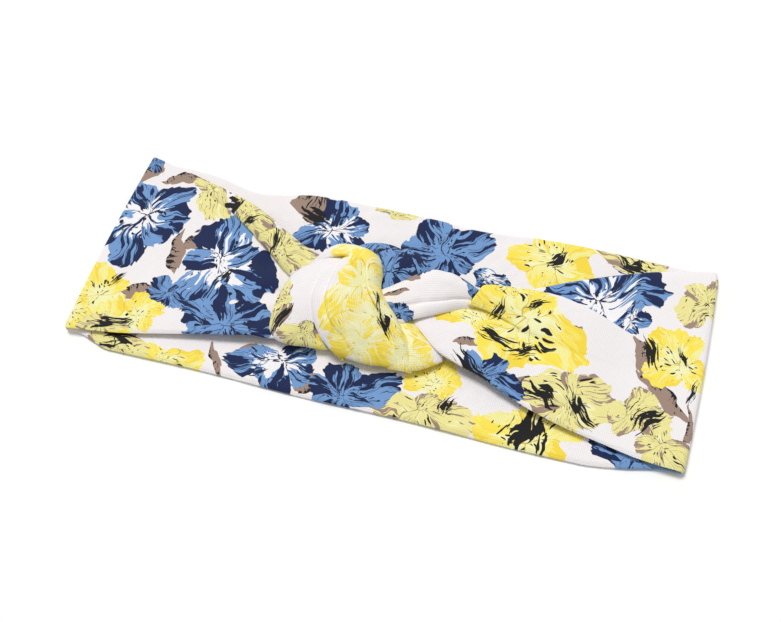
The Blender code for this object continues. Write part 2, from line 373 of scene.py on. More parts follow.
# How each kind of flower is painted. A "start" is the brush value beyond which its colour shows, and
# "heart_end" is how far along a petal, from -1 to 1, its heart reaches.
FLOWERS = {
    "blue": {
        "petals": 6,
        "base": BLUE, "light": SKY, "shade": NAVY, "heart": WHITE, "line": NAVY, "marks": INK,
        "light_start": 0.60, "light_blur": 0.02, "shade_start": 1.06, "hair_start": 0.61,
        "heart_end": -0.22, "mark_scale": (5.5, 5.5), "mark_size": 0.30,
    },
    "yellow": {
        "petals": 5,
        "base": YELLOW, "light": PALE, "shade": GOLD, "heart": CREAM, "line": AMBER, "marks": INK,
        "light_start": 0.46, "light_blur": 0.10, "shade_start": 1.20, "hair_start": 0.64,
        "heart_end": -0.26, "mark_scale": (2.4, 6.5), "mark_size": 0.32,
    },
    "lime": {
        "petals": 5,
        "base": LIME, "light": CREAM, "shade": TAUPE, "heart": LIME, "line": OLIVE, "marks": INK,
        "light_start": 0.54, "light_blur": 0.06, "shade_start": 1.20, "hair_start": 0.63,
        "heart_end": -0.80, "mark_scale": (2.2, 7.0), "mark_size": 0.32,
    },
}
FLOWERS["straw"] = FLOWERS["yellow"] | {"light": STRAW, "line": GOLD, "marks": AMBER, "mark_size": 0.22}
FLOWERS["indigo"] = FLOWERS["blue"] | {"heart": BLUE, "shade_start": 1.08, "hair_start": 0.56}

# Each motif: x, y, radius, turn in degrees, and width as a share of length.
PRINTS = {
    "back": {
        "blue": [(-31, 28, 16, 200, 0.8), (36, 20, 6, 0, 0.7), (-33, -38, 17, 0, 0.5),
                 (-88, 2, 18, 30, 0.9)],
        "indigo": [(14, 28, 19, 20, 0.8), (-5, -42, 18, 10, 0.45), (104, -43, 17, 160, 0.5)],
        "yellow": [(56, 35, 19, 40, 0.8), (-75, -48, 12, 20, 0.5), (26, -28, 12, 0, 0.6),
                   (65, -43, 19, 30, 0.7), (-52, 4, 15, 60, 0.8)],
        "lime": [(-12, 45, 9, 0, 0.4), (90, 42, 15, -20, 0.5), (-98, -47, 14, 0, 0.4),
                 (24, -43, 18, 10, 0.5), (88, 2, 15, 0, 0.9)],
        "leaf": [(-44, 37, 13, -8, 0.5), (70, 34, 5, 80, 0.5), (-57, -42, 9, 110, 0.22),
                 (-47, -37, 9, 240, 0.45), (-17, -43, 8, 200, 0.5), (-100, -43, 10, 20, 0.5)],
        "ink": [(-42, 35, 9, -10, 0.6), (57, 37, 7, 50, 0.5), (63, -39, 11, 80, 0.9),
                (88, 41, 9, -10, 0.5), (-98, -43, 7, 0, 0.6), (34, -38, 5, 60, 0.5)],
    },
    "left": {
        "blue": [(-111, 13, 21, 250, 0.8), (-70, -1, 20, 60, 1.0)],
        "indigo": [(-118, 41, 7, 60, 0.5), (-58, -28, 21, 180, 0.5), (-86, -19, 9, 160, 0.6)],
        "yellow": [(-112, -26, 17, 100, 0.8), (-93, -33, 14, 20, 0.7), (-120, -38, 14, 20, 0.7)],
        "lime": [(-88, 34, 14, -40, 0.6), (-66, 38, 15, 130, 0.5), (-45, 24, 15, 130, 0.6),
                 (-104, -40, 10, 0, 0.5)],
        "leaf": [(-117, 38, 9, 75, 0.45), (-104, 36, 8, 25, 0.35), (-96, 37, 7, 20, 0.45),
                 (-90, 0, 10, 100, 0.4), (-84, 6, 6, 50, 0.4), (-100, -22, 11, 40, 0.35),
                 (-57, 31, 6, 100, 0.4)],
        "ink": [(-76, 40, 8, 60, 0.6), (-66, 35, 6, 20, 0.5), (-52, 27, 7, 100, 0.5),
                (-66, -6, 5, 70, 0.7), (-102, -38, 10, 10, 0.5), (-110, -17, 4, 60, 0.5)],
    },
    "right": {
        "blue": [(80, 34, 20, 200, 0.8), (92, 16, 9, -60, 0.6)],
        "indigo": [(45, -23, 13, -30, 0.5)],
        "yellow": [(54, 2, 22, -20, 0.75), (33, 0, 12, 10, 0.6), (111, 0, 14, 250, 1.0),
                   (46, 13, 10, 0, 0.5)],
        "lime": [(76, -27, 15, -35, 0.8), (99, -25, 12, 20, 0.6), (112, -37, 14, -40, 0.5),
                 (119, 28, 10, 90, 1.6)],
        "leaf": [(99, -3, 12, -60, 0.4), (108, -16, 13, -35, 0.28), (37, -14, 9, 15, 0.18),
                 (63, -26, 7, -20, 0.7), (119, -26, 9, 90, 0.16), (71, 0, 6, 40, 0.5)],
        "ink": [(66, -27, 8, -30, 0.6), (45, -7, 8, -15, 0.35), (56, -10, 8, 10, 0.3),
                (42, 4, 5, 70, 0.5), (81, -29, 8, -50, 0.6), (103, -27, 8, 60, 0.6),
                (101, 1, 9, -75, 0.4), (113, 3, 5, -60, 0.4), (57, 9, 5, 10, 0.5),
                # The last, a dark strip along the exit strand's lower edge, is partly the print's ink and
                # partly painted shade under that edge.
                (119, -12, 6, 80, 0.3), (40, -21.5, 12, -25, 0.3)],
    },
    "wrap": {
        "straw": [(-9, -5, 17, 80, 0.7), (-15, 12, 9, 10, 0.5), (0, -14, 16, -50, 0.9),
                  (-5, -23, 15, 10, 0.7), (14, -25, 13, -30, 0.8)],
        "leaf": [(19, -24, 5, 30, 0.3)],
        "ink": [(4, -17, 6, -60, 0.6), (0, -9, 4, -65, 0.4)],
    },
    "wrap_left": {
        "yellow": [(-14, -27, 8, 0, 0.7)],
        "lime": [(-41, -13, 12, 80, 0.6), (-27, -28, 8, 0, 0.5)],
        "leaf": [(-39, -12, 7, 60, 0.4), (-36, -22, 6, 80, 0.5), (-22, -26, 7, 0, 0.4)],
        "ink": [(-36, -22, 6, 75, 0.7)],
    },
    "tuck": {
        "indigo": [(-14, 24, 15, 200, 0.9), (3, 25, 14, 90, 0.9), (14, 8, 16, 20, 0.9),
                   (-4, 8, 14, 0, 1.0)],
        "leaf": [(9, 9, 5, 20, 0.4)],
        "ink": [(-9, 17, 5, 60, 0.5)],
    },
    "lens": {
        "indigo": [(8, -9, 6, 0, 0.5), (12, 13, 5, 35, 0.4), (31, 12, 7, -40, 0.5)],
        "leaf": [(4, -2, 4, 20, 0.4), (7, 8, 5, 40, 0.4)],
    },
}
MOTIF_REACH = 1.2  # a motif's paint stays within this many radii
FAR_MOTIF = 9.0  # the distance of the next motif where there is none

# A petal, as shares of its flower's radius.
PETAL_OUT = 0.5  # from the flower's centre to the petal's
PETAL_OVERLAP = 0.16  # how much more than that its half-length is
PETAL_HALF_WIDTH = 0.54
STREAKS_ACROSS = 11.0
HAIRS_ACROSS = 30.0

# Where each kind of motif starts in the noise, so that no two are brushed alike.
LEAF_SEED = 11.0
FLOWER_SEED = 20.0
FLOWER_SEED_STEP = 200.0
INK_SEED = 900.0
MOTIF_SEED_STEP = 3.7
BROAD_SEED = 50.0

# Waves that move the print about: how many there are to a metre, and how far they reach.
PRINT_STRAYS = ((70.0, 11.0), (250.0, 1.2))

# The knit is a little coarser than real jersey, which is too fine to show at this distance.
COLUMN_PITCH = 0.62  # between columns of stitches
LOOP_PITCH = 0.74  # between the loops of a column
KNIT_DEPTH = 0.12
FUZZ_SCALE = 2600.0  # tufts to a metre


def half_print(motifs, side):
    """The motifs that reach the half of the band on one side of its centre."""
    def reaches(motif):
        x, _, radius = motif[:3]
        return side * x > -MOTIF_REACH * radius

    return {kind: [motif for motif in found if reaches(motif)] for kind, found in motifs.items()}


def petals(flowers, count):
    """The petals of each flower as (x, y, half-length, turn, width share), fanned out from its centre."""
    found = []
    for x, y, radius, turn, width in flowers:
        lean = math.radians(turn)
        for k in range(count):
            around = math.radians(360 * k / count) + 0.4 * math.sin(5 * k + x)
            size = radius * (0.92 + 0.24 * math.sin(3 * k + y))
            along_x = PETAL_OUT * size * math.cos(around)
            along_y = PETAL_OUT * size * width * math.sin(around)
            out_x = along_x * math.cos(lean) - along_y * math.sin(lean)
            out_y = along_x * math.sin(lean) + along_y * math.cos(lean)
            out_turn = math.degrees(math.atan2(out_y, out_x))
            half_length = math.hypot(out_x, out_y) + PETAL_OVERLAP * size
            half_width = PETAL_HALF_WIDTH * size * math.sqrt(width)
            found.append((x + out_x, y + out_y, half_length, out_turn, half_width / half_length))
    return found


def nearest(g, point, motifs, seed):
    """Coordinates in the nearest motif (X along it, Z telling motifs apart), its distance, which is 1 at
    its edge, and the next motif's distance."""
    best, first, second = None, None, FAR_MOTIF
    for i, (x, y, half_length, turn, width) in enumerate(motifs):
        inputs = {
            "Vector": point,
            "Location": (x * MM, y * MM, -seed - MOTIF_SEED_STEP * i),
            "Rotation": (0, 0, math.radians(turn)),
            "Scale": (half_length * MM, half_length * width * MM, 1.0),
        }
        local = g.add("ShaderNodeMapping", inputs, vector_type="TEXTURE")
        flat = g.vector("MULTIPLY", local, (1, 1, 0))
        distance = g.vector("LENGTH", flat, output=1)
        if best is None:
            best, first = local, distance
            continue
        closer = g.math("LESS_THAN", distance, first)
        best = g.pick(closer, best, local)
        second = g.math("MINIMUM", second, g.math("MAXIMUM", first, distance))
        first = g.math("MINIMUM", first, distance)
    return best, first, second


def petal_brushwork(g, style, place, fan, streak, broad):
    """The colours of a petal: a pale side, a dark side and tip, dark hairlines and a ragged heart."""
    x, y, seed = place
    brush = g.plus_scaled(g.times(broad, 0.3), streak, 0.7)
    light = g.step(brush, style["light_start"], style["light_start"] + style["light_blur"])
    paint = g.mix(light, style["base"], style["light"])

    dark = g.plus(g.times(streak, 1.3), g.times(broad, 0.7))
    lean = g.plus(g.times(x, 0.14), g.times(y, 0.26))
    shade = g.step(g.plus(dark, lean), style["shade_start"], style["shade_start"] + 0.03)
    paint = g.mix(shade, paint, style["shade"])

    hair = g.noise(g.combine(x, g.times(fan, HAIRS_ACROSS), seed), 1.3, 1.0)
    hair = g.step(g.plus_scaled(hair, y, 0.08), style["hair_start"], style["hair_start"] + 0.02)
    paint = g.mix(hair, paint, style["shade"])

    spikes = g.plus_scaled(x, g.minus(streak, 0.5), 2.4)
    spikes = g.plus_scaled(spikes, g.minus(broad, 0.5), 1.4)
    heart = g.step(spikes, style["heart_end"] + 0.04, style["heart_end"])
    return g.mix(heart, paint, style["heart"])


def petal_marks(g, style, place, ripple):
    """Where the short marks around a flower's heart are."""
    x, y, seed = place
    along_scale, across_scale = style["mark_scale"]
    cells = g.combine(g.times(x, along_scale), g.times(y, across_scale), seed)
    cell = g.add("ShaderNodeTexVoronoi", {"Vector": cells, "Scale": 1.0, "Randomness": 1.0})
    near_heart = g.both(g.step(x, -0.85, -0.75), g.step(x, 0.25, 0.15))
    marks = g.both(g.step(cell, style["mark_size"], style["mark_size"] - 0.05), near_heart)
    return g.both(marks, g.step(ripple, 0.47, 0.50))


def paint_flowers(g, under, point, flowers, style, seed):
    """Petals brushed outwards, with a ragged rim, a line where two meet and marks around the heart."""
    local, distance, beyond = nearest(g, point, petals(flowers, style["petals"]), seed)
    place = g.parts(local)
    x, y, petal_seed = place
    fan = g.math("DIVIDE", y, g.math("MULTIPLY_ADD", x, 0.7, 1.9))
    streak = g.noise(g.combine(x, g.times(fan, STREAKS_ACROSS), petal_seed), 0.9, 3.0)
    broad = g.noise(g.combine(x, g.times(y, 1.4), g.plus(petal_seed, BROAD_SEED)), 1.3, 2.0)
    ripple = g.noise(local, 3.4, 1.0)
    rim = g.plus_scaled(g.minus(distance, 0.22), ripple, 0.44)

    paint = petal_brushwork(g, style, place, fan, streak, broad)
    gap = g.minus(beyond, distance)
    line = g.both(g.step(gap, 0.05, 0.02), g.step(broad, 0.46, 0.52))
    paint = g.mix(line, paint, style["line"])
    paint = g.mix(petal_marks(g, style, place, ripple), paint, style["marks"])
    return g.mix(g.step(rim, 1.0, 0.97), under, paint)


def paint_leaves(g, under, point, motifs, seed):
    """Pointed brush strokes, dark along one edge."""
    local = nearest(g, point, motifs, seed)[0]
    wobble = g.noise(local, 2.0, 1.0)
    x, y, leaf_seed = g.parts(local)
    bow = g.plus(g.times(x, x), g.math("ABSOLUTE", y))
    edge = g.plus_scaled(bow, g.minus(wobble, 0.5), 0.9)
    streaks = g.noise(g.combine(g.times(x, 9.0), y, leaf_seed), 1.2, 2.0)
    dark = g.step(g.plus_scaled(streaks, y, 0.25), 0.62, 0.65)
    return g.mix(g.step(edge, 0.98, 0.92), under, g.mix(dark, TAUPE, INK))


def paint_ink(g, under, point, motifs, seed):
    """Clusters of dark strokes, side by side along each motif."""
    local, distance = nearest(g, point, motifs, seed)[:2]
    x, y, cluster_seed = g.parts(local)
    strokes = g.noise(g.combine(g.times(x, 1.3), g.times(y, 4.5), cluster_seed), 1.0, 2.0)
    return g.mix(g.step(g.plus_scaled(strokes, distance, -0.34), 0.29, 0.31), under, INK)


def knit_height(g):
    """Columns of stitches, each a chain of small loops, with fuzz over them."""
    uv = g.add("ShaderNodeUVMap", uv_map="knit")
    run, across = g.parts(uv)[:2]
    column = g.math("SINE", g.times(run, 2 * math.pi / (COLUMN_PITCH * MM)))
    slant = g.times(g.math("ABSOLUTE", column), 1.4)
    row = g.math("SINE", g.plus_scaled(slant, across, 2 * math.pi / (LOOP_PITCH * MM)))
    fuzz = g.noise(uv, FUZZ_SCALE, 2.0)
    stitch = g.plus(g.times(column, 0.36), g.times(row, 0.34))
    return g.plus(stitch, g.times(fuzz, 0.8))


def strayed(g, uv):
    """The print's coordinates, moved about a little so that no motif has a plain outline."""
    point = uv
    for scale, reach in PRINT_STRAYS:
        stray = g.vector("SUBTRACT", g.noise(uv, scale, 1.0, output=1), (0.5, 0.5, 0.5))
        point = g.vector("ADD", point, g.vector("MULTIPLY", stray, (reach * MM, reach * MM, 0)))
    return point


def jersey(name, motifs):
    """Printed cotton jersey: the print, its knit, a little fuzz and soft, uneven dye, with painted shade
    in the knit's hollows.
    """
    material, g, shader = new_material(name)
    uv = g.add("ShaderNodeUVMap", uv_map="print")
    point = strayed(g, uv)
    paint = paint_leaves(g, GROUND, point, motifs["leaf"], LEAF_SEED)
    for i, (kind, style) in enumerate(FLOWERS.items()):
        if kind in motifs:
            seed = FLOWER_SEED + FLOWER_SEED_STEP * i
            paint = paint_flowers(g, paint, point, motifs[kind], style, seed)
    if "ink" in motifs:
        paint = paint_ink(g, paint, point, motifs["ink"], INK_SEED)

    height = knit_height(g)
    dye = g.noise(uv, 90.0, 3.0)
    # The colour is darker where the knit sits low: painted shade in its hollows, with the dye's uneven
    # tone over it.
    knit_shade_and_dye = g.plus(g.times(g.step(height, -0.5, 1.3), 0.19), g.times(dye, 0.06))
    knit_shade_and_dye = g.plus(knit_shade_and_dye, 0.88)
    tinted = g.add("ShaderNodeVectorMath", {0: paint, "Scale": knit_shade_and_dye}, operation="SCALE")
    g.link(tinted, shader.inputs["Base Color"])
    g.bump(height, 0.55, KNIT_DEPTH, shader)
    g.link(g.plus(g.times(dye, 0.12), 0.82), shader.inputs["Roughness"])
    shader.inputs["Specular IOR Level"].default_value = 0.25
    shader.inputs["Sheen Weight"].default_value = 0.12
    shader.inputs["Sheen Roughness"].default_value = 0.6
    return material


# ---------------------------------------------------------------- the back half and the side folds

SECTION_POINTS = 15  # across the band, in every section of it
STITCH_PITCH = 3.1
STITCH_MARGIN = 2.5  # from the band's edge to its first stitch
STITCH_SHAPE = [(-1.0, -0.5, 0.3), (-0.5, -0.3, 0), (0.5, 0.3, 0), (1.0, 0.5, 0.3)]  # x, y, how far in
THREAD_RADIUS = 0.17
BACK_LIFT = 0.1  # the soft back's middle lies this far above the frame's
END_BULGE = 1.3  # how far the middle of each folded end stands out
END_BULGE_WIDTH = 110  # from where the bulge starts to where it ends, across the band
PRINT_CHANGE = 0.5  # the front's print starts where the folded cloth has climbed this far
PLIES = ("outer_ply", "inner_ply", "seam_allowance", "seam_thread")


def sway(x, y):
    """The small unevenness of cloth that lies flat."""
    return 0.10 * math.sin(y / 8.3 + x / 17.0) + 0.07 * math.sin(x / 6.1 - y / 19.0)


def bell(x, centre, reach):
    return math.exp(-(((x - centre) / reach) ** 2))


def back_section(x):
    """The back's cross-section at x. It has slid forwards: its front edge sags, its rear edge dips."""
    top = HALF_WIDTH - 0.6 - 5.2 * bell(x, -69, 17) - 1.8 * bell(x, 25, 12) + 1.2 * bell(x, 72, 26)
    sag = ramp(x, -114, -100) * ramp(x, 112, 84)
    bottom = -HALF_WIDTH + 0.4 - 3.6 * sag + 2.0 * ramp(x, 100, 118) + 0.3 * math.sin(x / 13.0)
    return [(x, y, BACK_MID + BACK_LIFT + sway(x, y)) for y in np.linspace(top, bottom, SECTION_POINTS)]


def bend(piece):
    """Bakes the piece's transform into its mesh."""
    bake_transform(piece)


def build_back(prints):
    for side, hand in ((-1, "left"), (1, "right")):
        guides = [back_section(side * x) for x in np.linspace(0, SPLIT_BACK, 12)]
        piece = cloth(f"back_{hand}_cloth", surface(guides, 110, 90), [prints[f"back_{hand}"]])
        plies = [f"back_centre_{hand}_{part}" for part in PLIES]
        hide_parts(*plies, f"closing_allowance_{hand}")
        bend(piece)


def build_seam(material):
    """The hand stitches that close the tube, drawn tight, so that they show on the underside only."""
    reach = HALF_WIDTH - STITCH_MARGIN
    depth = BACK_MID + BACK_LIFT - THICK / 2
    curve = bpy.data.curves.new("closing_seam_stitches", "CURVE")
    curve.dimensions = "3D"
    curve.bevel_depth = THREAD_RADIUS * MM
    curve.bevel_resolution = 2
    curve.use_fill_caps = True
    for i in range(int(2 * reach / STITCH_PITCH)):
        middle = -reach + (i + 0.5) * STITCH_PITCH
        line = curve.splines.new("POLY")
        line.points.add(len(STITCH_SHAPE) - 1)
        for spot, (x, y, sunk) in zip(line.points, STITCH_SHAPE):
            spot.co = (x * MM, (middle + y) * MM, (depth + sunk) * MM, 1.0)
    curve.materials.append(material)
    stitches = bpy.data.objects.new("closing_seam_stitches", curve)
    bpy.context.scene.collection.objects.link(stitches)
    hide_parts("closing_seam_thread")
    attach(stitches, "back_centre_left")


def build_fold(side, hand, section, prints):
    """The band's end: along the back, round the fold and a little way along the front."""
    guides = [back_section(side * x) for x in np.linspace(SPLIT_BACK, FOLD_CENTRE, 8)]
    low_end, high_end = guides[-1], section(side * FOLD_CENTRE)
    for turn in (-60, -30, 0, 30, 60):
        angle = math.radians(turn)
        share = (1 + math.sin(angle)) / 2
        x = side * (FOLD_CENTRE + FOLD_RADIUS * math.cos(angle))
        z = FOLD_MID + FOLD_RADIUS * math.sin(angle)
        ys = [low[1] * (1 - share) + high[1] * share for low, high in zip(low_end, high_end)]
        bulges = [side * END_BULGE * math.cos(math.pi * y / END_BULGE_WIDTH) for y in ys]
        guides.append([(x + bulge, y, z) for bulge, y in zip(bulges, ys)])
    guides += [section(side * x) for x in np.linspace(FOLD_CENTRE, SPLIT_FRONT, 4)]
    rows, cols = 130, 90
    grid = surface(guides, rows, cols)
    climbs = np.argmax(grid[:, cols // 2, 2] > BACK_MID + PRINT_CHANGE)
    materials = [prints[f"back_{hand}"], prints[hand]]
    piece = cloth(f"{hand}_fold_cloth", grid, materials, change=climbs)

    levels = [f"{hand}_fold_{level}_{ply}" for level in ("lower", "upper") for ply in PLIES[:2]]
    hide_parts(*levels, *(f"back_{hand}_{part}" for part in PLIES))
    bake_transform(piece)


# ---------------------------------------------------------------- the front half

# Outlines of the front half, from left to right.
LEFT_TOP = [(-120, 44.4), (-93, 37.7), (-72, 30.5), (-58, 24.0), (-47, 17.6), (-36, 12.5), (-10, 5)]
LEFT_LIP = [
    (-120, 34), (-95, 30.5), (-80, 26.9), (-68, 19.8), (-56, 11.2), (-48, 5.2), (-38, -1.5), (-10, -10),
]
LEFT_BOTTOM = [
    (-120, -44.4), (-98, -41.4), (-79.5, -37.3), (-63, -33.6), (-46.5, -30.4), (-33, -28), (-10, -20),
]
RIGHT_TOP = [(52, 16.4), (66, 24.7), (80, 31.5), (98, 38.8), (120, 44.4)]
RIGHT_LIP = [(52, 15.0), (64, 15.2), (76, 12.6), (86, 9.7), (96, 6.5), (120, 0)]
RIGHT_CREASE = [(52, -2.0), (60, -3.4), (75, -6), (95, -8), (120, -10)]
RIGHT_BOTTOM = [(52, -29.0), (63, -33.3), (75, -36.5), (90, -39.2), (105, -41.7), (120, -42.6)]

# Which of a section's points is its lip or its crease.
LEFT_LIP_INDEX = 5
RIGHT_LIP_INDEX = 3
CREASE_INDEX = 8

LIP_DEPTH = 2.8  # from the left lip to where the panel below it starts
CREASE_HALF = 1.6
PLEAT_CLOTH = 14  # a pleat hides this much of the print
KNOT_HALF = 18.0  # the folds spread from this far to each side of the middle


def rise(x):
    """The front's mid height, which climbs towards the knot."""
    return FRONT_MID + 2.0 * ramp(abs(x), 112, 42)


def gathers(x, y, knot_y, strength):
    """Soft folds that spread from the knot."""
    reach = abs(x)
    turn = math.atan2(y - knot_y, max(reach - KNOT_HALF, 4.0))
    folds = math.sin(17.0 * turn) + 0.6 * math.sin(31.0 * turn + reach / 14.0)
    return strength * ramp(reach, 98, 48) * folds


def left_section(x):
    """Top edge, gathered roll, its lip, and the panel below it."""
    top, lip, bottom = along(LEFT_TOP, x), along(LEFT_LIP, x), along(LEFT_BOTTOM, x)
    base = rise(x)
    full = ramp(x, -92, -62)
    height = full * (2.3 + 1.6 * ramp(x, -76, -46)) * (1 - 0.45 * ramp(x, -46, -34))
    width = top - lip
    points = [
        (top, base + 0.15 * height),
        (top - 0.10 * width, base + 0.66 * height),
        (top - 0.32 * width, base + 0.99 * height),
        (top - 0.60 * width, base + height),
        (top - 0.86 * width, base + 0.80 * height),
        (lip, base + 0.42 * height),
        (lip - 1.3 + 3.4 * full, base - 0.05 * full),
        (lip - LIP_DEPTH + 1.4 * full, base - 0.6 * full),
    ]
    for t in np.linspace(0.14, 1.0, SECTION_POINTS - len(points)):
        y = lip - LIP_DEPTH + (bottom - lip + LIP_DEPTH) * t
        points.append((y, base + 0.5 * math.sin(math.pi * t) * full + gathers(x, y, -8, 0.42)))
    return [(x, y, z) for y, z in points]


def right_section(x):
    """The tucked-under corner, the lip that laps over it, a soft crease, and the panel below."""
    top, lip = along(RIGHT_TOP, x), along(RIGHT_LIP, x)
    crease, bottom = along(RIGHT_CREASE, x), along(RIGHT_BOTTOM, x)
    base = rise(x)
    full = ramp(x, 98, 74)
    soft = ramp(x, 66, 50)
    points = [
        (top, base),
        ((top + lip) / 2 + 0.3, base + 0.15),
        (lip + 0.3, base - 0.3 * full),
        (lip - 0.9 * full, base + 0.3 * full),
        (lip - 0.7 * (1 - full), base + 1.7 * full),
        (lip - 1.5, base + 2.5 * full),
        ((lip + crease) / 2, base + 2.3 * full),
        (crease + CREASE_HALF, base + 1.6 * full),
        (crease, base + 1.3 * full - 0.5 * soft),
        (crease - CREASE_HALF, base + 1.1 * full - 1.0 * soft),
    ]
    for t in np.linspace(0.2, 1.0, SECTION_POINTS - len(points)):
        y = crease - CREASE_HALF + (bottom - crease + CREASE_HALF) * t
        fall = (1.1 * full - 1.0 * soft) * (1 - t)
        points.append((y, base + fall + 0.4 * math.sin(math.pi * t) * full + gathers(x, y, -6, 0.36)))
    return [(x, y, z) for y, z in points]


def hidden_by_pleat(grid, lip_index, starts, deepest):
    """How far the print jumps above the lip: nothing at x = starts, and the whole pleat at x = deepest."""
    rows, cols = grid.shape[:2]
    above = np.arange(cols) < (lip_index + 0.3) / (SECTION_POINTS - 1) * (cols - 1)
    return PLEAT_CLOTH * ramp(grid[:, cols // 2, 0], starts, deepest)[:, None] * above[None, :]


def build_left_panel(material):
    """The left panel, up to where it runs in under the wrap."""
    stations = [-95, -88, -82, -76, -70, -64, -58, -52, -46, -40, -34, -26, -16]
    grid = surface([left_section(x) for x in stations], 150, 130)
    hidden = hidden_by_pleat(grid, LEFT_LIP_INDEX, -88, -70)
    piece = cloth("front_left_cloth", grid, [material], hidden=hidden)
    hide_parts(*(f"front_left_{part}" for part in PLIES), "knot_standing_strand")
    bend(piece)


def build_right_panel(material):
    """The right panel, up to where it divides into the knot's flap and exit strand."""
    stations = [SPLIT_RIGHT, 57, 62, 67, 72, 78, 84, 90, SPLIT_FRONT]
    grid = surface([right_section(x) for x in stations], 110, 130)
    hidden = hidden_by_pleat(grid, RIGHT_LIP_INDEX, 94, 82)
    piece = cloth("front_right_cloth", grid, [material], hidden=hidden)
    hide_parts(*(f"front_right_{part}" for part in PLIES))
    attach(piece, "front_right")


# Guide curves from inside the knot to the right panel, each from its upper edge to its lower one.
EXIT_FLAP = [
    [(34.2, 10.6, 9.2), (34.3, 10.7, 9.7), (34.0, 10.0, 10.2), (33.6, 8.6, 10.5), (33.1, 7.0, 10.6),
     (32.5, 5.4, 10.5), (32.0, 4.0, 10.2), (31.2, 2.8, 9.7), (30.6, 2.2, 9.0)],
    [(37.0, 12.4, 8.2), (37.2, 12.4, 8.9), (37.0, 11.5, 9.6), (36.7, 10.0, 10.0), (36.4, 8.3, 10.2),
     (36.0, 6.4, 10.1), (35.6, 4.6, 9.7), (35.0, 3.0, 9.0), (34.6, 2.4, 8.2)],
    [(42.5, 14.3, 6.8), (42.7, 14.2, 7.6), (42.6, 13.2, 8.3), (42.4, 11.5, 8.8), (42.2, 9.3, 9.1),
     (42.0, 7.0, 9.1), (41.8, 4.8, 8.8), (41.6, 2.6, 8.1), (41.4, 1.5, 7.3)],
    [(47.5, 15.4, 6.0), (47.6, 15.2, 6.6), (47.6, 14.2, 7.2), (47.5, 12.6, 7.7), (47.4, 10.2, 8.1),
     (47.3, 7.4, 8.2), (47.2, 4.4, 8.0), (47.1, 1.4, 7.4), (47.0, -0.3, 6.9)],
]
EXIT_STRAND = [
    [(13, 8, 5.5), (11.5, 4, 5.8), (10, 1, 6.0), (9, -2, 6.0), (8.5, -4, 6.0), (8, -6, 5.8),
     (7.5, -8, 5.4)],
    [(20, 8, 6.4), (19, 4, 7.2), (17.6, 0, 7.7), (16.5, -4, 7.9), (15.4, -7.6, 8.0), (14.6, -10, 7.8),
     (14.2, -11.2, 7.2)],
    [(28, 7, 6.2), (27.4, 3, 6.9), (26.6, -2, 7.5), (25.6, -7, 7.8), (24.8, -12, 7.9),
     (24.0, -16.6, 7.6), (23.6, -18.7, 6.8)],
    [(36, 4.4, 5.7), (35.4, 1, 6.3), (34.8, -3.4, 7.0), (34.2, -8.5, 7.4), (33.5, -14, 7.5),
     (32.8, -20, 7.0), (32.4, -22.2, 6.2)],
    [(43.6, 2.4, 5.6), (43.4, -0.6, 6.2), (43.2, -5, 6.7), (43.0, -10, 7.0), (42.8, -16, 7.0),
     (42.6, -22.6, 6.5), (42.5, -25.2, 5.9)],
]


def build_exits(material):
    """The exit strand and the flap that laps over it, which meet the right panel edge to edge."""
    edge = right_section(SPLIT_RIGHT)
    flap_grid = surface(EXIT_FLAP + [edge[: CREASE_INDEX + 1]], 60, 70)
    strand_grid = surface(EXIT_STRAND + [edge[CREASE_INDEX:]], 90, 90)
    for name, grid, node in (
        ("knot_flap_cloth", flap_grid, "knot_exit_flap"),
        ("knot_exit_cloth", strand_grid, "knot_exit_strand"),
    ):
        piece = cloth(name, grid, [material], round_ends=(True, False))
        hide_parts(node)
        bend(piece)


# ---------------------------------------------------------------- the knot

# Guide curves across each layer of the knot, from where the cloth enters to where it leaves.
# The left side of the wrap:
WRAP_LEFT = [
    [(-27, 8, 12), (-22, 8.5, 13.5), (-17, 8.5, 14), (-12, 8, 14)],
    [(-30.5, 4, 12.5), (-25, 5, 14.6), (-19, 5, 15.4), (-13, 4.5, 15.4)],
    [(-37, -2, 11), (-32, 0, 13.8), (-25, -1.5, 15.2), (-18, -2, 15.2)],
    [(-40.2, -10, 9.4), (-36, -9, 12.4), (-29, -10, 14.3), (-20, -10, 14.2)],
    [(-40.8, -18, 8), (-37, -18, 11), (-30, -18.5, 12.7), (-20, -18.5, 12.2)],
    [(-40.2, -25, 6.6), (-36.5, -26, 8.4), (-30, -26.4, 9), (-18, -25, 7.4)],
    [(-38.5, -27.2, 5), (-35, -28.6, 5.4), (-29, -29.2, 5.6), (-16, -27.5, 5)],
    [(-36, -25, 4.3), (-33, -25.5, 4), (-28, -26, 3.9), (-15, -25.5, 3.8)],
]
# The top of the wrap: its left edge, its crease, its right edge and how high the crease stands.
WRAP_TOP = [
    ((-19, 8, 14.5), (-15, 8.5, 16), (-6, 7, 15), 2.0),
    ((-20, 4.5, 16.4), (-16.8, 4.6, 17), (-6, 3, 16.4), 2.6),
    ((-24.3, -2, 16.8), (-19.3, -1.6, 17.2), (-4, -4, 16.6), 2.8),
    ((-25.3, -10, 15.8), (-19.9, -8.5, 17), (0, -10, 15.6), 2.8),
    ((-24.3, -16.5, 14.6), (-18.8, -15.5, 16.2), (4, -15, 14), 2.3),
    ((-21.4, -22.4, 12.2), (-15.5, -21.3, 14.6), (8, -19, 12.4), 1.4),
    ((-17.4, -26.2, 9.4), (-10, -24.8, 12.2), (12, -22.5, 10.4), 0.4),
    ((-13, -28.8, 7), (-5, -28.6, 8.8), (15, -26, 8), 0.0),
    ((-10, -29.6, 5), (-2, -30.2, 5.8), (16.5, -28.5, 5.6), 0.0),
    ((-8, -27.5, 4), (0, -28, 4.1), (16, -27, 4.1), 0.0),
]
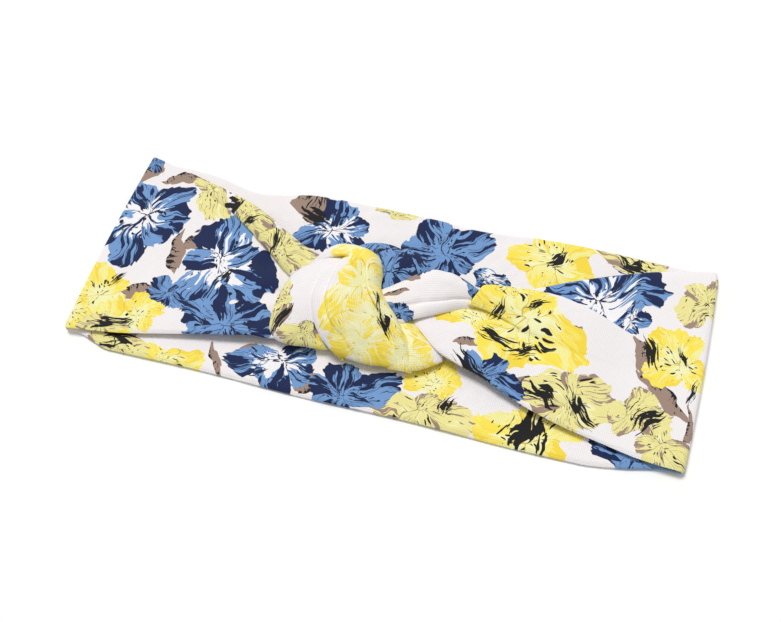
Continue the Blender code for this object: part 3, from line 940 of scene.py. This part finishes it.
# The rolled edge that runs over the wrap:
TOP_ROLL = [
    [(-34, 2, 9), (-33.5, 3, 9.6), (-32.5, 3.5, 10), (-31, 3, 10)],
    [(-29.8, 8.8, 10.6), (-29, 9.2, 12), (-27.8, 8, 13.6), (-26.5, 5.5, 14)],
    [(-24.6, 12.4, 12), (-24, 12.4, 14.2), (-22.6, 10, 16.4), (-22, 6.2, 16.8)],
    [(-18.6, 13.8, 12.6), (-18, 13.2, 15.2), (-17.2, 10.4, 17.4), (-17.5, 6.4, 18.2)],
    [(-11.8, 13, 12.6), (-11.5, 12.4, 15.2), (-11.2, 9.4, 18.2), (-12.4, 5.4, 19.6)],
    [(-7.2, 10.6, 12), (-7, 9.9, 14.6), (-7.7, 7, 18), (-9.8, 3.2, 19.9)],
    [(-4.6, 5.4, 11.5), (-4.8, 4.8, 14.4), (-5.9, 2, 17.7), (-8, -1.2, 19.7)],
    [(-3, -0.7, 11), (-3.3, -1.2, 14), (-4.2, -3.2, 17.3), (-6.2, -5.6, 19.4)],
    [(1, -6.7, 10.8), (0.7, -7.2, 13.4), (-0.2, -8.7, 16.4), (-2.2, -10.6, 18.4)],
    [(6.2, -11.8, 10.2), (6, -12.2, 12.6), (5, -13.4, 15), (2.8, -15, 16.4)],
    [(10.2, -16.2, 9.4), (9.8, -16.8, 11.2), (8.6, -18, 12.8), (6.6, -19.2, 13.6)],
    [(13.2, -20.5, 8.4), (12.7, -21, 9.8), (11.4, -22, 11), (9.2, -23, 11.4)],
    [(16, -25, 6.4), (15.4, -25.4, 7.2), (13.4, -26.2, 8.2), (9.4, -26.6, 8.2)],
    [(18, -27.6, 4.8), (17, -28.4, 5.2), (14.4, -29.4, 5.4), (8, -29.6, 4.9)],
    [(17.6, -26, 3.7), (16.2, -26.6, 3.8), (13.6, -27.2, 3.8), (8, -27.4, 3.6)],
]
# The foot of the wrap, at its lower right:
FOOT = [
    [(4, -9, 8), (8, -8, 8), (12, -6.5, 7.2), (16, -6, 5.6)],
    [(7, -14, 8.8), (10.5, -12.6, 8.8), (15, -11.6, 6.8), (19, -11, 5.2)],
    [(9.5, -18.5, 8.8), (13.6, -17, 8.8), (18.6, -16.2, 6.8), (23, -15, 4.8)],
    [(12, -23, 7.8), (16.6, -21.6, 8), (22, -20, 6.2), (26.4, -18, 4.4)],
    [(13.5, -27, 6.2), (18.2, -26, 6.4), (23.4, -23, 5.2), (27, -20, 3.9)],
    [(14, -28.6, 4.6), (18.6, -27.4, 4.6), (23.6, -24, 4.2), (27, -20.5, 3.7)],
    [(13.5, -27, 3.7), (18, -25.6, 3.7), (22.6, -22.4, 3.7), (26, -19.5, 3.6)],
]
# The cloth tucked in behind the wrap:
TUCK = [
    [(-22, 16, 6), (-21, 11, 7.5), (-20, 6, 8)],
    [(-15, 21.8, 6.5), (-14, 15, 8.6), (-13, 6, 9)],
    [(-7, 22.8, 7), (-6.5, 15, 9), (-7, 4, 9.4)],
    [(0, 21.5, 7), (-1, 14, 9), (-3, 3, 9)],
    [(6, 18.5, 6), (5, 12, 7.6), (3, 3, 7.6)],
]
# The folded edge that lies over the tuck:
FAN = [
    [(0.4, 21, 9.2), (-1, 16.8, 10.6), (-3.4, 11.5, 10.8), (-5, 5, 10.4), (-5, 0, 9.6)],
    [(2.6, 20.6, 9.6), (1.4, 16.4, 11.2), (-0.5, 11.4, 11.4), (-2, 5.5, 10.8), (-2.5, 0, 9.8)],
    [(6.5, 19.4, 9), (5, 15.2, 10.4), (3, 10.6, 10.6), (1, 5, 10), (0, 0, 9)],
    [(10.8, 16.4, 7.8), (9, 12.8, 9), (6.5, 9, 9.2), (4, 5, 8.8), (2.5, 1, 8)],
    [(13, 14, 6), (11.5, 11, 7), (9, 8, 7.4), (6.5, 5, 7), (5, 2, 6.6)],
]
# The lens-shaped strand: its upper edge, its groove, its lower edge and how high it stands.
LENS = [
    ((-6, -2), (-2, -9), (0, -14), 10.6),
    ((3.4, 4.3), (5, -6.5), (8, -13), 12.0),
    ((12, 12.1), (12.5, -3.2), (13, -9.8), 12.8),
    ((20.3, 13.7), (20.4, 0.2), (20.8, -5), 12.2),
    ((28, 12.2), (27, 4), (26.5, -0.8), 10.6),
    ((35, 9.5), (34.4, 6.5), (33.4, 3), 8.4),
]


def lens_guide(upper, groove, lower, height):
    """Across the lens-shaped strand: over its upper half, into the groove and over its lower half."""
    u, g, w = Vector(upper), Vector(groove), Vector(lower)
    places = [
        (u, -3.0),
        (u.lerp(g, 0.10), -1.2),
        (u.lerp(g, 0.35), 0.0),
        (u.lerp(g, 0.65), -0.1),
        (u.lerp(g, 0.90), -0.7),
        (g, -1.6),
        (g.lerp(w, 0.12), -1.9),
        (g.lerp(w, 0.40), -1.3),
        (g.lerp(w, 0.75), -1.9),
        (w, -3.2),
    ]
    return [(p.x, p.y, height + drop) for p, drop in places]


def wrap_guide(left, crease, right, height):
    """Across the top of the wrap: up from under the left edge, over the crease, down to the right."""
    a, b, c = Vector(left), Vector(crease), Vector(right)
    points = [
        a + Vector((1.8, 0, -2.0)),
        a + Vector((0.1, 0, -0.8)),
        a + Vector((0.6, 0, 0.4)),
        a.lerp(b, 0.6) + Vector((0, 0, 0.6)),
        b + Vector((0.4 * height - 0.7, 0, -0.1)),
        b + Vector((-0.1, 0, 0.4 * height)),
        b + Vector((0.4, 0, 0.9 * height)),
        b + Vector((1.8, 0, 1.05 * height)),
        b.lerp(c, 0.4) + Vector((0, 0, 0.9 * height + 0.3)),
        b.lerp(c, 0.75) + Vector((0, 0, 0.35 * height - 0.1)),
        c + Vector((1.0, 0, -1.5)),
    ]
    return [tuple(point) for point in points]


def knot_piece(name, guides, rows, cols, material, *nodes, thick=THICK):
    """A layer of the knot, which stands for these CAD nodes."""
    grid = surface(guides, rows, cols)
    piece = cloth(name, grid, [material], thick, round_ends=(True, True), plan_knit=False)
    if nodes:
        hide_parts(*nodes)
    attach(piece, "knot")


def build_knot(prints):
    wrap, tuck = prints["wrap"], prints["tuck"]
    wrap_guides = [wrap_guide(*row) for row in WRAP_TOP]
    lens_guides = [lens_guide(*row) for row in LENS]
    knot_piece("wrap_left_cloth", WRAP_LEFT, 110, 80, prints["wrap_left"], "knot_wrap")
    knot_piece("wrap_top_cloth", wrap_guides, 130, 140, wrap, thick=WRAP_THICK)
    knot_piece("wrap_roll_cloth", TOP_ROLL, 170, 50, wrap, "knot_wrap_roll")
    knot_piece("foot_cloth", FOOT, 80, 60, wrap)
    knot_piece("tuck_cloth", TUCK, 80, 60, tuck, "knot_return_strand")
    knot_piece("tuck_fan_cloth", FAN, 60, 70, tuck, thick=FAN_THICK)
    knot_piece("lens_cloth", lens_guides, 100, 80, prints["lens"], "knot_lens_strand")


# ---------------------------------------------------------------- thread and stage

TWIST_SCALE = 4200.0  # turns of the thread's fibres to a metre
TWIST_DEPTH = 0.05
FLOOR_HALF = 4.0  # in metres
SURROUND = 0.44  # how bright the white surround is as a light
KEY_STRENGTH = 2.05
KEY_SPREAD = 24  # degrees across, so its shadows are soft
KEY_DIRECTION = (0.22, -0.28, -0.93)
CAMERA_PLACE = (0.0889, -0.2168, 0.3630)  # in metres, like its aim
CAMERA_AIM = (0.0010, -0.0027, 0.0)
CAMERA_ROLL = -6.45
CAMERA_LENS = 50.84
SENSOR_WIDTH = 36.0


def sewing_thread():
    """Off-white thread with a fine twist."""
    material, g, shader = new_material("sewing_thread")
    twist = g.noise(g.add("ShaderNodeTexCoord", output=3), TWIST_SCALE, 2.0)
    g.link(g.mix(twist, THREAD_DARK, THREAD_LIGHT), shader.inputs["Base Color"])
    g.bump(twist, 0.4, TWIST_DEPTH, shader)
    shader.inputs["Roughness"].default_value = 0.6
    return material


def build_floor():
    """A plain, nearly white floor."""
    material, g, shader = new_material("floor")
    grain = g.noise(g.add("ShaderNodeTexCoord", output=3), 30.0, 4.0)
    g.link(g.mix(grain, FLOOR_DARK, FLOOR_LIGHT), shader.inputs["Base Color"])
    shader.inputs["Roughness"].default_value = 0.9
    corners = [(x * FLOOR_HALF, y * FLOOR_HALF, 0) for x, y in ((-1, -1), (1, -1), (1, 1), (-1, 1))]
    mesh = bpy.data.meshes.new("floor")
    mesh.from_pydata(corners, [], [(0, 1, 2, 3)])
    mesh.materials.append(material)
    floor = bpy.data.objects.new("floor", mesh)
    bpy.context.scene.collection.objects.link(floor)


def light_scene():
    """Soft light from behind and above, in a white surround that is dimmer as a light than to look at."""
    world = bpy.data.worlds.new("studio")
    world.use_nodes = True
    g = Graph(world.node_tree)
    seen = g.add("ShaderNodeLightPath", output="Is Camera Ray")
    background = world.node_tree.nodes["Background"]
    background.inputs["Color"].default_value = (1.0, 1.0, 1.0, 1.0)
    g.link(g.math("MULTIPLY_ADD", seen, 1.0 - SURROUND, SURROUND), background.inputs["Strength"])
    bpy.context.scene.world = world
    light = bpy.data.lights.new("key", "SUN")
    light.energy = KEY_STRENGTH
    light.angle = math.radians(KEY_SPREAD)
    lamp = bpy.data.objects.new("key", light)
    lamp.rotation_euler = Vector(KEY_DIRECTION).to_track_quat("-Z", "Y").to_euler()
    bpy.context.scene.collection.objects.link(lamp)
    bpy.context.scene.view_settings.view_transform = "Standard"


def place_camera():
    """From the front, to the right and well above, turned a little."""
    data = bpy.data.cameras.new("camera")
    data.lens = CAMERA_LENS
    data.sensor_width = SENSOR_WIDTH
    camera = bpy.data.objects.new("camera", data)
    camera.location = CAMERA_PLACE
    look = (Vector(CAMERA_AIM) - Vector(CAMERA_PLACE)).to_track_quat("-Z", "Y")
    roll = Euler((0, 0, math.radians(CAMERA_ROLL))).to_quaternion()
    camera.rotation_euler = (look @ roll).to_euler()
    bpy.context.scene.collection.objects.link(camera)
    bpy.context.scene.camera = camera


def make_prints():
    """A jersey for each stretch. The back's is halved, so that no material holds too many motifs."""
    motifs = {"back_left": half_print(PRINTS["back"], -1), "back_right": half_print(PRINTS["back"], 1)}
    motifs |= {stretch: found for stretch, found in PRINTS.items() if stretch != "back"}
    return {stretch: jersey(f"{stretch}_print", found) for stretch, found in motifs.items()}


prints = make_prints()
build_back(prints)
build_seam(sewing_thread())
build_fold(-1, "left", left_section, prints)
build_fold(1, "right", right_section, prints)
build_left_panel(prints["left"])
build_right_panel(prints["right"])
build_exits(prints["right"])
build_knot(prints)
build_floor()
light_scene()
place_camera()
